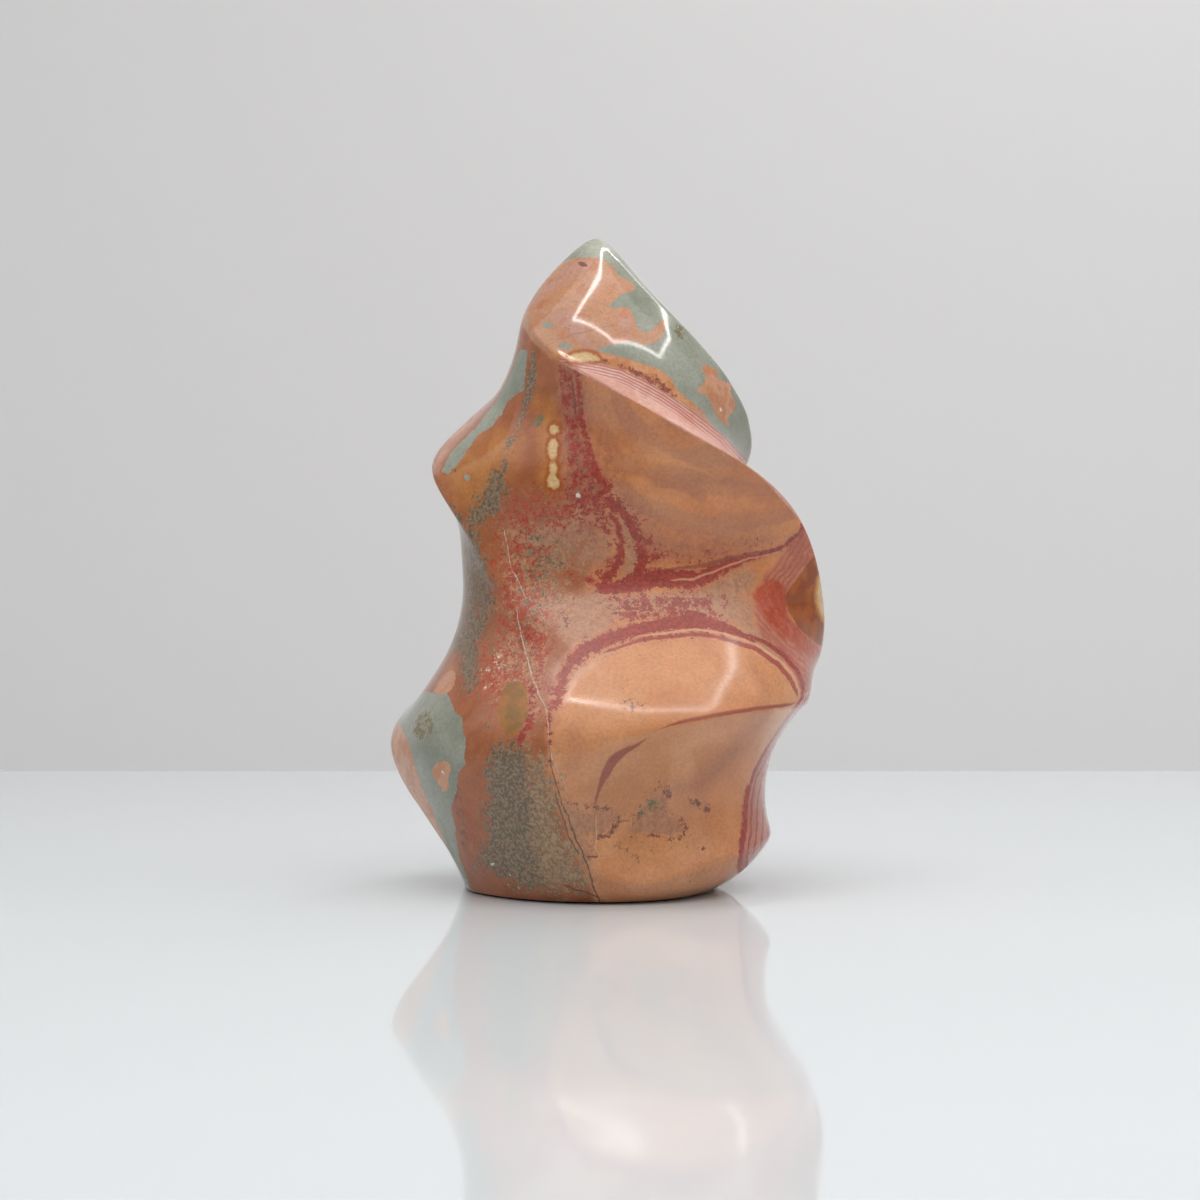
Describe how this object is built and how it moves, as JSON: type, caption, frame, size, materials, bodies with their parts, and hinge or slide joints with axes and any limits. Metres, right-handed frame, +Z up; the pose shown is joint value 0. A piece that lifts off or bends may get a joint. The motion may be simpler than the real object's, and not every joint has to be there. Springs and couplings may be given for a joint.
{
  "type": "polychrome jasper flame carving",
  "caption": "Polished jasper carved as a freestanding twisting flame, with hollow flutes winding between crisp ridges and a flat base to stand on.",
  "frame": {"origin": "bottom centre of the carving's bounding box, on the surface that the base stands on", "axes": "+Z up from the base to the tip; the front, with the large scoop and the low hollow, faces -Y; +X to the viewer's right"},
  "size_m": [0.0806, 0.0671, 0.1193],
  "materials": {
    "polished_jasper": "high polish, many-coloured: tan, salmon, crimson, ochre and sage green"
  },
  "bodies": {
    "root": {"jasper_flame": "polished_jasper"}
  },
  "joints": []
}
